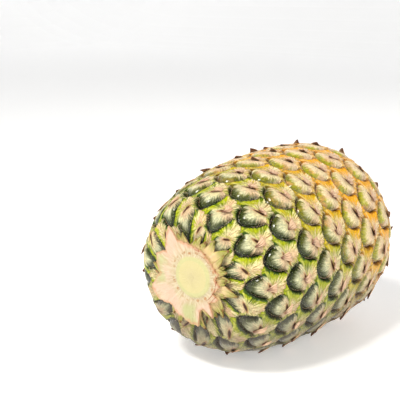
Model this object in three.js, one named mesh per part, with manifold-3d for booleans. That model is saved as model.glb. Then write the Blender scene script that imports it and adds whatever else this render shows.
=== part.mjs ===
// A ripe pineapple with its crown cut off, lying on its side as on a table.
// Units are millimetres, +Z is up, and +Y runs along the fruit from its crown end to its stalk end.
// The origin is under the middle of the fruit, on the surface that it lies on.
import * as THREE from "three";
import { mergeVertices } from "three/addons/utils/BufferGeometryUtils.js";
import Module from "manifold-3d";

const wasm = await Module();
wasm.setup();

// The fruit is a barrel that tapers to the crown end. "Along" is the distance from its crown rim.
const LENGTH = 168;
const RADIUS = 62;
const WIDEST_AT = 115;
const CROWN_RIM_RADIUS = 30;
const STALK_RIM_RADIUS = 18;
const SHOULDER_ROUNDNESS = 2.7;
// The fruit's own weight presses the lowest eyes flat by this much.
const PRESSED_FLAT = 2.0;
const AXIS_HEIGHT = RADIUS - PRESSED_FLAT;

// The eyes, which are the fruitlets, follow one winding spiral. Each is turned by nearly the golden angle
// from the last, which lines them up in 8 rows one way and 13 the other way.
const ROWS_LEFT = 8;
const ROWS_RIGHT = 13;
const TURN = 137.248;
const TURN_DRIFT = 0.00122;
const FIRST_EYE_ANGLE = 37.2;
const FIRST_EYE_SKIN = 34.2;
const RISE = 1.01;
const RISE_GROWTH = 0.00194;
const LEAN = 7.0;
// The net of the skin is drawn between these eyes, and this far past the rims, then trimmed to them.
const LOWEST_EYE = -60;
const HIGHEST_EYE = 150;
const SKIN_MARGIN = 8;

// One eye: a pillow in a diamond of grooves, with a bract over its stalk-ward half that ends in a dry tip.
const CELLS_PER_EYE = 6;
const GROOVE_DEPTH = 4.4;
const SHOULDER_DEPTH = 1.0;
const DOME_BULGE = 1.7;
const BRACT_RISE = 0.8;
const TIP_HEIGHT = 3.2;
const TIP_FORWARD = 2.4;
const RIM_DEPTH = 3.2;
const RIM_FADE = 9;

// The cut stub of the crown: a core in a ragged star of sliced leaf bases, with its cut face out.
const STUB_PLUG_RADIUS = 16;
const STUB_OVERHANG = 1.1;
const STUB_FACE = 3.2;
const CORE_RADIUS = 12.5;
const CORE_STANDS_OUT = 0.5;
const CORE_ASIDE = 2.4;
const CORE_ABOVE = 2.5;
const GAP = 0.35;
// Round the star, each leaf base is a tip between two notches: angle from the top, and reach.
const STAR_OUTLINE = [
  [332, 34], [337, 24.4], [350, 22], [6, 20.5], [23, 20], [41, 19.3], [61, 19.4], [72, 21], [80, 18],
  [91, 20.8], [108, 16.6], [113, 21.8], [129, 17.4], [141, 25.8], [148, 18], [159, 19.2], [168, 27.6],
  [184, 26], [197, 23.8], [199, 25.3], [216, 22], [222, 23.5], [235, 28.7], [251, 30.5], [256, 28],
  [272, 21.7], [278, 24.2], [296, 27.5], [309, 22.9], [320, 27.5],
];

// Two rings of small leaves: fresh ones under the star, and dry ones round the stalk. Each ring has a
// washer under its leaves. From root to tip a leaf rises by its lift and bends by its curl.
const COLLAR = {
  leaves: 14, rootInner: 16.4, rootOuter: 19.5, washerThick: 1.3,
  reach: 36, width: 9, thick: 1.2, lift: 0.15, curl: -1.2,
};
const SKIRT = {
  leaves: 11, rootInner: 13.4, rootOuter: 17, washerThick: 1.6,
  reach: 31, width: 9.5, thick: 0.9, lift: 4.6, curl: -1.4,
};
const ROOT_SUNK = 2.5;
const RING_SIDES = 36;

// The cut stalk: slightly ribbed and lobed, with each given as a share of its radius.
const STALK_RADIUS = 12.5;
const STALK_STANDS_OUT = 6;
const STALK_SIDES = 28;
const STALK_RIBS = 7;
const STALK_RIB_HEIGHT = 0.03;
const STALK_LOBES = 3;
const STALK_LOBE_HEIGHT = 0.02;

const degrees = THREE.MathUtils.degToRad;
const { lerp, smoothstep, clamp, euclideanModulo } = THREE.MathUtils;

// A repeatable random number from 0 to 1 for one eye or leaf.
function chance(index, salt) {
  const s = Math.sin(index * 12.9898 + salt * 78.233) * 43758.5453;
  return s - Math.floor(s);
}

function radiusAt(along) {
  const crownWard = along < WIDEST_AT;
  const rim = crownWard ? CROWN_RIM_RADIUS : STALK_RIM_RADIUS;
  const reach = crownWard ? WIDEST_AT : LENGTH - WIDEST_AT;
  const share = Math.min(1, Math.abs(along - WIDEST_AT) / reach);
  return rim + (RADIUS - rim) * Math.sqrt(1 - share ** SHOULDER_ROUNDNESS);
}

// The eyes share the skin evenly, so places are told by "skin": the skin's area from the crown rim,
// divided by the girth. Past the widest place the eyes shrink instead of growing long, so the girth
// counts for less there. The list runs skin against the distance along, with finer steps at the ends.
function narrowing(along, r) {
  return (r / RADIUS) ** (along < WIDEST_AT ? 1 : 0.3);
}
const skinSteps = [];
for (let i = 0, skin = 0; i <= 600; i++) {
  const along = (LENGTH * (1 - Math.cos((Math.PI * i) / 600))) / 2;
  const r = radiusAt(along);
  const last = skinSteps.at(-1);
  if (last) skin += Math.hypot(along - last.along, r - last.r) * narrowing(along, (r + last.r) / 2);
  skinSteps.push({ along, r, skin });
}
const SKIN_TOTAL = skinSteps.at(-1).skin;

function placeAt(skin) {
  const wanted = clamp(skin, 0, SKIN_TOTAL);
  let low = 0;
  let high = skinSteps.length - 1;
  while (high - low > 1) {
    const middle = (low + high) >> 1;
    if (skinSteps[middle].skin > wanted) high = middle;
    else low = middle;
  }
  const a = skinSteps[low];
  const b = skinSteps[high];
  const share = (wanted - a.skin) / (b.skin - a.skin);
  const slope = Math.atan2(b.r - a.r, b.along - a.along);
  return { along: lerp(a.along, b.along, share), r: lerp(a.r, b.r, share), slope };
}

// Where the grid point (x, y) of the two families of rows lies: whole numbers are the eyes' middles.
function gridPlace(x, y) {
  const eye = ROWS_RIGHT * x + ROWS_LEFT * y;
  const right = 360 * 5 - ROWS_RIGHT * TURN;
  const left = ROWS_LEFT * TURN - 360 * 3;
  const angle = degrees(FIRST_EYE_ANGLE + x * right - y * left - TURN_DRIFT * eye * eye);
  const skin = FIRST_EYE_SKIN + RISE * eye + RISE_GROWTH * eye * eye + LEAN * Math.cos(angle);
  return { eye, angle, skin };
}

// The point of the fruit at an angle from the top, at a place along, raised by "out" and moved
// towards the crown by "forward". The fruit's axis is level, and what would be under the table is flat.
function skinPoint(angle, { along, r, slope }, out, forward) {
  const rr = r + out * Math.cos(slope) - forward * Math.sin(slope);
  const y = along - out * Math.sin(slope) - forward * Math.cos(slope);
  const z = rr * Math.cos(angle) + AXIS_HEIGHT;
  return new THREE.Vector3(rr * Math.sin(angle), y - LENGTH / 2, Math.max(z, 0));
}

// Height of an eye at "side" (left -1 to right 1) and "crown" (stalk corner -1 to crown corner 1).
function eyeRelief(side, crown, eye) {
  const edge = Math.abs(side) + Math.abs(crown);
  const steepness = lerp(2.2, 6.5, smoothstep(crown, -0.6, 0.7));
  const pillow = 1 - edge ** steepness;
  const vary = lerp(0.75, 1.25, chance(eye, 1));
  const dome = DOME_BULGE * vary * Math.exp(-((side / 0.62) ** 2) - ((crown - 0.32) / 0.33) ** 2);
  const bract = BRACT_RISE * (1 - edge) * smoothstep(-crown, -0.1, 0.25);
  return GROOVE_DEPTH * (pillow - 1) - SHOULDER_DEPTH + (dome + bract) * (1 - edge ** 4);
}

// A solid from a list of points and triangles.
function solidFrom(points, faces) {
  const vertProperties = new Float32Array(points.flatMap((p) => [p.x, p.y, p.z]));
  const mesh = new wasm.Mesh({ numProp: 3, vertProperties, triVerts: new Uint32Array(faces.flat()) });
  return new wasm.Manifold(mesh);
}

function solidOf(geometry) {
  const bare = geometry.index ? geometry.toNonIndexed() : geometry.clone();
  bare.deleteAttribute("normal");
  bare.deleteAttribute("uv");
  const merged = mergeVertices(bare, 1e-4);
  return new wasm.Manifold(new wasm.Mesh({
    numProp: 3,
    vertProperties: merged.attributes.position.array,
    triVerts: new Uint32Array(merged.index.array),
  }));
}

function geometryOf(solid) {
  const { vertProperties, triVerts } = solid.getMesh();
  const geometry = new THREE.BufferGeometry();
  geometry.setAttribute("position", new THREE.BufferAttribute(vertProperties, 3));
  geometry.setIndex(new THREE.BufferAttribute(triVerts, 1));
  geometry.computeVertexNormals();
  return geometry;
}

// The fruit: a net of small cells that follows the rows of eyes, closed by a flat at each end.
function fruitSolid() {
  const across = ROWS_LEFT * CELLS_PER_EYE;
  const points = [];
  const made = new Map();
  const nearRim = RISE * 0.8;

  // The net wraps round: ROWS_LEFT steps one way and ROWS_RIGHT back the other way meet themselves.
  function pointAt(X, Y) {
    const key = `${ROWS_RIGHT * X + ROWS_LEFT * Y},${euclideanModulo(X, across)}`;
    if (made.has(key)) return made.get(key);
    const x = X / CELLS_PER_EYE;
    const y = Y / CELLS_PER_EYE;
    const { angle, skin } = gridPlace(x, y);
    const i = Math.round(x);
    const j = Math.round(y);
    const eye = ROWS_RIGHT * i + ROWS_LEFT * j;
    const side = x - i - (y - j);
    const crown = -(x - i) - (y - j);
    const end = skin < nearRim ? -1 : skin > SKIN_TOTAL - nearRim ? 1 : 0;
    const depth = Math.min(skin, SKIN_TOTAL - skin);
    const fade = smoothstep(depth, 0, RIM_FADE);
    let out = lerp(-RIM_DEPTH, eyeRelief(side, crown, eye), end ? 0 : fade);
    let forward = 0;
    if (side === 0 && crown === 0 && !end) {
      const length = lerp(0.45, 1.3, chance(eye, 2)) * fade;
      out += TIP_HEIGHT * length;
      forward = TIP_FORWARD * length;
    }
    const place = placeAt(end < 0 ? 0 : end > 0 ? SKIN_TOTAL : skin);
    const index = points.push(skinPoint(angle, place, out, forward)) - 1;
    const found = { index, end, angle: euclideanModulo(angle, 2 * Math.PI) };
    made.set(key, found);
    return found;
  }

  const faces = [];
  const rims = new Map([[-1, new Map()], [1, new Map()]]);
  function addFace(a, b, c) {
    if (a.end && a.end === b.end && b.end === c.end) return;
    faces.push([a.index, b.index, c.index]);
    for (const corner of [a, b, c]) if (corner.end) rims.get(corner.end).set(corner.index, corner);
  }
  const rowReach = HIGHEST_EYE * CELLS_PER_EYE;
  for (let X = 0; X < across; X++) {
    for (let Y = -rowReach; Y < rowReach; Y++) {
      const { eye, skin } = gridPlace(X / CELLS_PER_EYE, Y / CELLS_PER_EYE);
      const past = Math.max(-skin, skin - SKIN_TOTAL);
      if (eye < LOWEST_EYE || eye > HIGHEST_EYE || past > SKIN_MARGIN) continue;
      const corner = pointAt(X, Y);
      const right = pointAt(X + 1, Y);
      const left = pointAt(X, Y + 1);
      const far = pointAt(X + 1, Y + 1);
      addFace(corner, right, far);
      addFace(corner, far, left);
    }
  }

  // Each end is closed by a fan from its middle to the rim, in order round the rim.
  for (const [end, rim] of rims) {
    const ring = [...rim.values()].sort((a, b) => a.angle - b.angle);
    const hub = points.push(new THREE.Vector3(0, points[ring[0].index].y, AXIS_HEIGHT)) - 1;
    ring.forEach((corner, k) => {
      const next = ring[(k + 1) % ring.length];
      faces.push(end < 0 ? [hub, next.index, corner.index] : [hub, corner.index, next.index]);
    });
  }
  const used = new Map();
  const kept = [];
  const renumbered = faces.map((face) => face.map((v) => {
    if (!used.has(v)) used.set(v, kept.push(points[v]) - 1);
    return used.get(v);
  }));
  return solidFrom(kept, renumbered);
}

// The stub of the crown: the star with its cut face, the core in its middle, which the knife left
// standing a little out, and the plug that goes down to the fruit.
function endDisc(radius, from, to) {
  const disc = new THREE.CylinderGeometry(radius, radius, to - from, RING_SIDES);
  return solidOf(disc.translate(0, -(from + to) / 2, 0));
}

function crownStubSolid() {
  const outline = new THREE.Shape(STAR_OUTLINE.map(([angle, reach]) =>
    new THREE.Vector2(reach * Math.sin(degrees(angle)), reach * Math.cos(degrees(angle)))));
  const star = new THREE.ExtrudeGeometry(outline, { depth: STUB_FACE - STUB_OVERHANG, bevelEnabled: false });
  star.rotateX(Math.PI / 2).translate(0, -STUB_OVERHANG, 0);
  const plug = endDisc(STUB_PLUG_RADIUS, GAP - RIM_DEPTH, STUB_FACE - 0.5);
  const core = endDisc(CORE_RADIUS, STUB_OVERHANG, STUB_FACE + CORE_STANDS_OUT)
    .translate(CORE_ASIDE, 0, CORE_ABOVE);
  return solidOf(star).add(plug).add(core).translate(0, -LENGTH / 2, AXIS_HEIGHT);
}

// One pointed leaf, as a thin wedge with a raised midrib, along +X from its root.
function leafSolid(root, tip, width, thick, lift, curl) {
  const points = [];
  const stations = [[0, 0.62], [0.3, 1], [0.62, 0.72], [0.85, 0.34], [1, 0.08]];
  for (const [share, breadth] of stations) {
    const x = lerp(root, tip, share);
    const z = lift * share + curl * share * share;
    const half = (width * breadth) / 2;
    points.push(new THREE.Vector3(x, -half, z));
    points.push(new THREE.Vector3(x, 0, z + thick * 0.45));
    points.push(new THREE.Vector3(x, half, z));
    points.push(new THREE.Vector3(x, 0, z - thick * 0.55));
  }
  const faces = [];
  const last = stations.length - 1;
  for (let k = 0; k < last; k++) {
    for (let side = 0; side < 4; side++) {
      const a = 4 * k + side;
      const b = 4 * k + ((side + 1) % 4);
      faces.push([a, a + 4, b], [b, a + 4, b + 4]);
    }
  }
  faces.push([0, 1, 2], [0, 2, 3]);
  const e = 4 * last;
  faces.push([e, e + 2, e + 1], [e, e + 3, e + 2]);
  const made = solidFrom(points, faces);
  return made.volume() < 0 ? solidFrom(points, faces.map(([a, b, c]) => [a, c, b])) : made;
}

// A ring of leaves: a washer with its leaves' roots sunk into it. +Z is the way out of the fruit.
function leafRingSolid({ leaves, rootInner, rootOuter, washerThick, reach, width, thick, lift, curl }) {
  const washer = new THREE.LatheGeometry([
    new THREE.Vector2(rootInner, 0), new THREE.Vector2(rootOuter, 0),
    new THREE.Vector2(rootOuter, washerThick), new THREE.Vector2(rootInner, washerThick),
    new THREE.Vector2(rootInner, 0),
  ], RING_SIDES);
  washer.rotateX(Math.PI / 2);
  let ring = solidOf(washer);
  for (let k = 0; k < leaves; k++) {
    const tip = reach * lerp(0.86, 1.04, chance(k, leaves));
    const wide = width * lerp(0.8, 1.15, chance(k, 5));
    const leaf = leafSolid(rootOuter - ROOT_SUNK, tip, wide, thick, lift, curl);
    const turn = (360 / leaves) * (k + 0.35 * (chance(k, 7) - 0.5));
    ring = ring.add(leaf.translate(0, 0, washerThick / 2).rotate(0, 0, turn));
  }
  return ring;
}

function collarSolid() {
  return leafRingSolid(COLLAR)
    .rotate(90, 0, 0)
    .translate(0, -LENGTH / 2 - STUB_OVERHANG + GAP + COLLAR.washerThick, AXIS_HEIGHT);
}

function skirtSolid() {
  return leafRingSolid(SKIRT)
    .rotate(-90, 0, 0)
    .translate(0, LENGTH / 2 - RIM_DEPTH + GAP, AXIS_HEIGHT);
}

// The stalk's stump, cut a little proud of the fruit, with ribs where its fibres run.
function stalkSolid() {
  const profile = [
    [0, 0], [STALK_RADIUS - 1.2, 0], [STALK_RADIUS, 2.5], [STALK_RADIUS - 0.6, 6.5],
    [STALK_RADIUS - 1.4, RIM_DEPTH + STALK_STANDS_OUT], [0, RIM_DEPTH + STALK_STANDS_OUT],
  ].map(([r, y]) => new THREE.Vector2(r, y));
  const stump = new THREE.LatheGeometry(profile, STALK_SIDES);
  const at = stump.attributes.position;
  for (let k = 0; k < at.count; k++) {
    const angle = Math.atan2(at.getX(k), at.getZ(k));
    const rib = STALK_RIB_HEIGHT * Math.cos(STALK_RIBS * angle);
    const lobe = STALK_LOBE_HEIGHT * Math.cos(STALK_LOBES * angle + 1);
    at.setX(k, at.getX(k) * (1 + rib + lobe));
    at.setZ(k, at.getZ(k) * (1 + rib + lobe));
  }
  const solid = solidOf(stump);
  return solid.translate(0, LENGTH / 2 - RIM_DEPTH + GAP, AXIS_HEIGHT);
}

const pineapple = new THREE.Group();
function addPiece(name, solid, color, roughness) {
  const material = new THREE.MeshStandardMaterial({ color, roughness, metalness: 0 });
  const mesh = new THREE.Mesh(geometryOf(solid), material);
  mesh.name = name;
  pineapple.add(mesh);
}
addPiece("fruit", fruitSolid(), 0x8a9a3c, 0.5);
addPiece("crown_stub", crownStubSolid(), 0xf0dcae, 0.7);
addPiece("collar_leaves", collarSolid(), 0xa9b44a, 0.6);
addPiece("stalk_leaves", skirtSolid(), 0x9a7448, 0.8);
addPiece("stalk_stub", stalkSolid(), 0xb79a6a, 0.85);

// The origin goes under the middle of the whole, on the table.
const box = new THREE.Box3().setFromObject(pineapple);
const middle = box.getCenter(new THREE.Vector3());
pineapple.position.set(-middle.x, -middle.y, -box.min.z);

export default pineapple;
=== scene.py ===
# A ripe pineapple with its crown cut off, lying on its side on a pale studio floor.
# Lengths are written in millimetres and angles in degrees, and become metres and radians in the meshes.
import math
from types import SimpleNamespace

import bpy
import numpy as np
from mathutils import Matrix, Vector


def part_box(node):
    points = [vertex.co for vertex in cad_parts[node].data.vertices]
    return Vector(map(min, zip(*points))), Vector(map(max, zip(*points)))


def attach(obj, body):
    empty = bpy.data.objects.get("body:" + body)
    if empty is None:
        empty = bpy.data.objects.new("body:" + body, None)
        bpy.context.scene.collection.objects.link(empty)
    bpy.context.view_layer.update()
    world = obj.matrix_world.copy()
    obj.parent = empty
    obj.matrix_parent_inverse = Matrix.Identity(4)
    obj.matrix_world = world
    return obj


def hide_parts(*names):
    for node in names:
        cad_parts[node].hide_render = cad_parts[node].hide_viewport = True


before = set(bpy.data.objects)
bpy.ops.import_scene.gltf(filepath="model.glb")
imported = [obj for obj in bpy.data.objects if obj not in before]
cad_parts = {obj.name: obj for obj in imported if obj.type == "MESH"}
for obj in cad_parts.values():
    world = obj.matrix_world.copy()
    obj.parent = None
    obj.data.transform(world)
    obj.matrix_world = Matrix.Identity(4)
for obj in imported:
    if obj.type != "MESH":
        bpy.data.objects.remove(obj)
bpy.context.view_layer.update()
MM = 0.001

# The fruit's place in the frame: its axis is level and runs along +Y, from the crown end to the stalk end.
# "Along" is the distance from the crown rim, and the fruit's weight presses its lowest eyes flat.
LENGTH = 168
RADIUS = 62
PRESSED_FLAT = 2.0
AXIS_HEIGHT = RADIUS - PRESSED_FLAT
STUB_CORE_FACE = 3.7
CROWN_RIM_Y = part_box("crown_stub")[0][1] / MM + STUB_CORE_FACE
FRUIT_MIDDLE = Vector((0, CROWN_RIM_Y + LENGTH / 2, AXIS_HEIGHT)) * MM

# The camera looks at the fruit from the photograph's angle, from in front of its cut crown and a little
# above. The fruit's middle is aside, below and away from the lens, as it stands in the photograph.
VIEW_TURN = 36.635
VIEW_FALL = 13.499
LENS_WIDTHS = 2.206
SENSOR_WIDTH = 36
FRUIT_ASIDE = 45.82
FRUIT_BELOW = 29.99
FRUIT_AWAY = 577.47

turn = math.radians(VIEW_TURN)
fall = math.radians(VIEW_FALL)
to_right = Vector((math.cos(turn), math.sin(turn), 0))
ahead = Vector((-math.sin(turn) * math.cos(fall), math.cos(turn) * math.cos(fall), -math.sin(fall)))
upward = Vector((-math.sin(turn) * math.sin(fall), math.cos(turn) * math.sin(fall), math.cos(fall)))
bpy.ops.object.select_all(action="DESELECT")
bpy.ops.object.camera_add()
camera = bpy.context.object
camera.name = "camera"
camera.location = FRUIT_MIDDLE + (upward * FRUIT_BELOW - to_right * FRUIT_ASIDE - ahead * FRUIT_AWAY) * MM
camera.rotation_euler = (math.radians(90 - VIEW_FALL), 0, turn)
camera.data.sensor_width = SENSOR_WIDTH
camera.data.lens = SENSOR_WIDTH * LENS_WIDTHS
camera.data.clip_start = 0.01
bpy.context.scene.camera = camera

# The studio: a pale floor that sweeps up on every side, large soft lamps and an even white sky.
FLOOR_HALF = 3000
FLOOR_SHADE = 0.96
FLOOR_GLOW = 0.32
SWEEP_HEIGHT = 2500
SWEEP_ROUND = 900
SWEEP_STEPS = 16
SKY_STRENGTH = 0.16


def put(tree, kind, inputs=None, output=0, **settings):
    """Adds a shader node with its settings and inputs, and gives back one of its outputs."""
    node = tree.nodes.new(kind)
    for name, value in settings.items():
        setattr(node, name, value)
    for name, value in (inputs or {}).items():
        if isinstance(value, bpy.types.NodeSocket):
            tree.links.new(value, node.inputs[name])
        else:
            node.inputs[name].default_value = value
    return node.outputs[output]


def new_material(name, roughness, **shader_values):
    """A material with a Principled BSDF, whose own sockets take the values that don't vary."""
    material = bpy.data.materials.new(name)
    material.use_nodes = True
    tree = material.node_tree
    shader = tree.nodes["Principled BSDF"]
    shader.inputs["Roughness"].default_value = roughness
    for socket, value in shader_values.items():
        shader.inputs[socket.replace("_", " ")].default_value = value
    return material, tree, shader


bpy.ops.mesh.primitive_plane_add(size=2 * FLOOR_HALF * MM)
floor = bpy.context.object
floor.name = "studio_floor"
bpy.ops.object.mode_set(mode="EDIT")
bpy.ops.mesh.select_mode(type="EDGE")
bpy.ops.mesh.select_all(action="SELECT")
bpy.ops.mesh.extrude_edges_move(TRANSFORM_OT_translate={"value": (0, 0, SWEEP_HEIGHT * MM)})
bpy.ops.object.mode_set(mode="OBJECT")
sweep = floor.modifiers.new("sweep", "BEVEL")
sweep.width = SWEEP_ROUND * MM
sweep.segments = SWEEP_STEPS
bpy.ops.object.modifier_apply(modifier="sweep")
floor_paint, tree, shader = new_material("studio_floor", 0.9, Emission_Strength=FLOOR_GLOW)
shader.inputs["Emission Color"].default_value = (1, 1, 1, 1)
shader.inputs["Base Color"].default_value = (FLOOR_SHADE, FLOOR_SHADE, FLOOR_SHADE, 1)
floor.data.materials.append(floor_paint)


def add_lamp(name, place, size, power, colour):
    """A square soft lamp, turned to face the fruit. Its place is seen from the camera: right, up, away."""
    bpy.ops.object.light_add(type="AREA")
    lamp = bpy.context.object
    lamp.name = name
    level_ahead = Vector((ahead.x, ahead.y, 0)).normalized()
    right, up, away = (distance * MM for distance in place)
    lamp.location = FRUIT_MIDDLE + to_right * right + Vector((0, 0, up)) + level_ahead * away
    lamp.rotation_euler = (FRUIT_MIDDLE - lamp.location).to_track_quat("-Z", "Y").to_euler()
    lamp.data.size = size * MM
    lamp.data.energy = power
    lamp.data.color = colour


add_lamp("key_lamp", (-450, 900, -500), 300, 13.2, (1, 0.975, 0.92))
add_lamp("fill_lamp", (900, 400, -600), 900, 3.2, (1, 0.99, 0.97))
add_lamp("back_lamp", (300, 800, 800), 900, 1.2, (1, 0.98, 0.93))
bpy.context.scene.view_settings.view_transform = "Standard"
world = bpy.data.worlds.new("studio_room")
world.use_nodes = True
world.node_tree.nodes["Background"].inputs["Color"].default_value = (1, 1, 1, 1)
world.node_tree.nodes["Background"].inputs["Strength"].default_value = SKY_STRENGTH
bpy.context.scene.world = world

# The rind: one continuous skin, in which every eye is a bulging, frosted dome with a steep, dark groove on
# its crown side. The eyes grow along one winding spiral, each turned by nearly the golden angle from the
# last, which lines them up in 8 rows one way and 13 the other way.
WIDEST_AT = 115
CROWN_RIM_RADIUS = 30
STALK_RIM_RADIUS = 18
SHOULDER_ROUNDNESS = 2.7
RIM_DEPTH = 3.2
RIM_FADE = 9
RIM_HOLE_RADIUS = 8
BODY_STEPS = 600
FLAT_STEPS = 12

# The eyes' places. "Skin" is the way over the rind from the crown rim, as the eyes share it out.
ROWS_LEFT = 8
ROWS_RIGHT = 13
WINDS_LEFT = 3
WINDS_RIGHT = 5
TURN = 137.248
TURN_DRIFT = 0.00122
FIRST_EYE_ANGLE = 37.2
FIRST_EYE_SKIN = 34.2
RISE = 1.01
RISE_GROWTH = 0.00194
LEAN = 7.0
CROWN_NARROWING = 1
STALK_NARROWING = 0.3
EYES_COUNTED_FROM = -60
EYES_COUNTED_TO = 150
RIND_BEFORE_RIM = 12
RIND_BEYOND_RIM = 8
RIND_WELD = 0.02

# One eye. The dome's place and reaches, and where the bract falls, are shares of the way from the eye's
# middle to its corner. The lip and the groove count from the dome's outline, which is 1. Heights are in
# millimetres.
EYE_CELLS = 24
DOME_ASIDE = -0.11
DOME_FORWARD = 0.015
DOME_SKEW = 0.22
DOME_HALF_WIDTH = 0.53
DOME_CROWN_REACH = 0.8
DOME_STALK_REACH = 0.31
LEFT_SQUARENESS = 1.7
RIGHT_SQUARENESS = 2.0
STALK_SQUARENESS = 2.2
DOME_TOP = 0.35
DOME_STEP = -0.4
LEAST_SWELL = 0.6
MOST_SWELL = 1.5
CROWN_STEEPNESS = 4.5
STALK_STEEPNESS = 3.0
BRACT_TOP = 0.45
BRACT_FALL = 0.9
BRACT_FALLS_FROM = 0.4
BRACT_FALLS_TO = 1.3
LIP_HEIGHT = 0.3
LIP_AT = 1.2
LIP_WIDTH = 0.09
GROOVE_DEPTH = 3.0
GROOVE_WIDTH = 0.14
GROOVE_EDGE = 0.04


def radius_at(along):
    """The fruit's radius at a distance from the crown rim: a barrel with round shoulders."""
    crown_ward = along < WIDEST_AT
    rim = np.where(crown_ward, CROWN_RIM_RADIUS, STALK_RIM_RADIUS)
    reach = np.where(crown_ward, WIDEST_AT, LENGTH - WIDEST_AT)
    share = np.minimum(1, np.abs(along - WIDEST_AT) / reach)
    return rim + (RADIUS - rim) * np.sqrt(1 - share**SHOULDER_ROUNDNESS)


def narrowing(along, radius):
    """How much a step over the rind counts for: less where the fruit is narrow."""
    return (radius / RADIUS) ** np.where(along < WIDEST_AT, CROWN_NARROWING, STALK_NARROWING)


# The skin's area from the crown rim, divided by the girth, runs evenly through the eyes. These steps give
# it against the distance along and the radius. At both ends they go on over the flat end of the fruit.
body_along = LENGTH * (1 - np.cos(np.linspace(0, math.pi, BODY_STEPS + 1))) / 2
crown_flat = np.linspace(RIM_HOLE_RADIUS, CROWN_RIM_RADIUS, FLAT_STEPS)[:-1]
stalk_flat = np.linspace(STALK_RIM_RADIUS, RIM_HOLE_RADIUS, FLAT_STEPS)[1:]
step_along = np.concatenate([0 * crown_flat, body_along, 0 * stalk_flat + LENGTH])
step_radius = np.concatenate([crown_flat, radius_at(body_along), stalk_flat])
step_way = np.hypot(np.diff(step_along), np.diff(step_radius))
step_weight = narrowing((step_along[1:] + step_along[:-1]) / 2, (step_radius[1:] + step_radius[:-1]) / 2)
step_skin = np.concatenate([[0], np.cumsum(step_way * step_weight)])
step_skin -= step_skin[len(crown_flat)]
SKIN_TOTAL = step_skin[len(crown_flat) + BODY_STEPS]
step_slope = np.arctan2(np.gradient(step_radius), np.gradient(step_along))


def smooth(value, low, high):
    """Runs smoothly from 0 to 1 while a value runs from low to high."""
    share = np.clip((value - low) / (high - low), 0, 1)
    return share * share * (3 - 2 * share)


def mix_numbers(low, high, share):
    """The number at a share of the way from low to high."""
    return low + (high - low) * share


def chance(index, salt):
    """A repeatable random number from 0 to 1 for one eye or leaf."""
    value = np.sin(index * 12.9898 + salt * 78.233) * 43758.5453
    return value - np.floor(value)


def eye_number(x, y):
    """The eyes are numbered along their one spiral, from the crown to the stalk."""
    return ROWS_RIGHT * x + ROWS_LEFT * y


def grid_place(x, y):
    """The angle from the top and the skin of the grid point (x, y): whole numbers are the eyes' middles."""
    eye = eye_number(x, y)
    right = 360 * WINDS_RIGHT - ROWS_RIGHT * TURN
    left = ROWS_LEFT * TURN - 360 * WINDS_LEFT
    angle = np.radians(FIRST_EYE_ANGLE + x * right - y * left - TURN_DRIFT * eye * eye)
    skin = FIRST_EYE_SKIN + RISE * eye + RISE_GROWTH * eye * eye + LEAN * np.cos(angle)
    return angle, skin


def on_fruit(eye, side, crown, out):
    """Points on one eye, in metres. Side runs from its left corner, -1, to its right corner, 1, and crown
    from its stalk corner to its crown corner. Out is how far they are off the skin, in millimetres."""
    x = eye[0] + (side - crown) / 2
    y = eye[1] - (side + crown) / 2
    angle, skin = grid_place(x, y)
    along = np.interp(skin, step_skin, step_along)
    radius = np.interp(skin, step_skin, step_radius)
    slope = np.interp(skin, step_skin, step_slope)
    inside = smooth(np.minimum(skin, SKIN_TOTAL - skin), 0, RIM_FADE)
    out = mix_numbers(-RIM_DEPTH, out, inside)
    reach = radius + out * np.cos(slope)
    y_place = CROWN_RIM_Y + along - out * np.sin(slope)
    z_place = np.maximum(reach * np.cos(angle) + AXIS_HEIGHT, 0)
    return np.column_stack([reach * np.sin(angle), y_place, z_place]) * MM


def dome_outline(side, crown):
    """How far a place in an eye is out from the middle of its dome: 1 on the dome's outline, which is a
    skewed half moon with its flat side to the stalk. The second number is above 0 on the crown side."""
    aside = (side - DOME_ASIDE) / DOME_HALF_WIDTH
    forward = crown - DOME_FORWARD + DOME_SKEW * (side - DOME_ASIDE)
    ahead = forward / np.where(forward > 0, DOME_CROWN_REACH, DOME_STALK_REACH)
    power = np.where(aside < 0, LEFT_SQUARENESS, RIGHT_SQUARENESS)
    power = np.where(forward < 0, STALK_SQUARENESS, power)
    return (np.abs(aside) ** power + np.abs(ahead) ** power) ** (1 / power), forward


def owned_places(side, crown):
    """Whose dome or bract each place in a tile belongs to. Gives the owner's tile, as grid steps, the
    place in the owner's own side and crown, the way out from the nearest dome, and that dome's crown side.
    Domes come first, then the bracts to the stalk side of their domes, and then all the others."""
    far = 10
    owned = None
    for x, y in ((0, 0), (-1, 0), (0, -1), (1, 0), (0, 1)):
        own_side = side - (x - y)
        own_crown = crown + (x + y)
        out, forward = dome_outline(own_side, own_crown)
        edge = np.abs(own_side) + np.abs(own_crown)
        rank = np.where(out < 1, out - far, np.where(forward < 0, edge, far + edge))
        rows = (rank, 0 * rank + x, 0 * rank + y, own_side, own_crown)
        crown_side = smooth(forward / np.maximum(out, 0.01), -0.12, 0.1)
        if owned is None:
            owned = np.array(rows)
            nearest = np.array((out, crown_side))
        else:
            owned = np.where(rank < owned[0], rows, owned)
            nearest = np.where(out < nearest[0], (out, crown_side), nearest)
    return (*owned[1:], *nearest)


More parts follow.
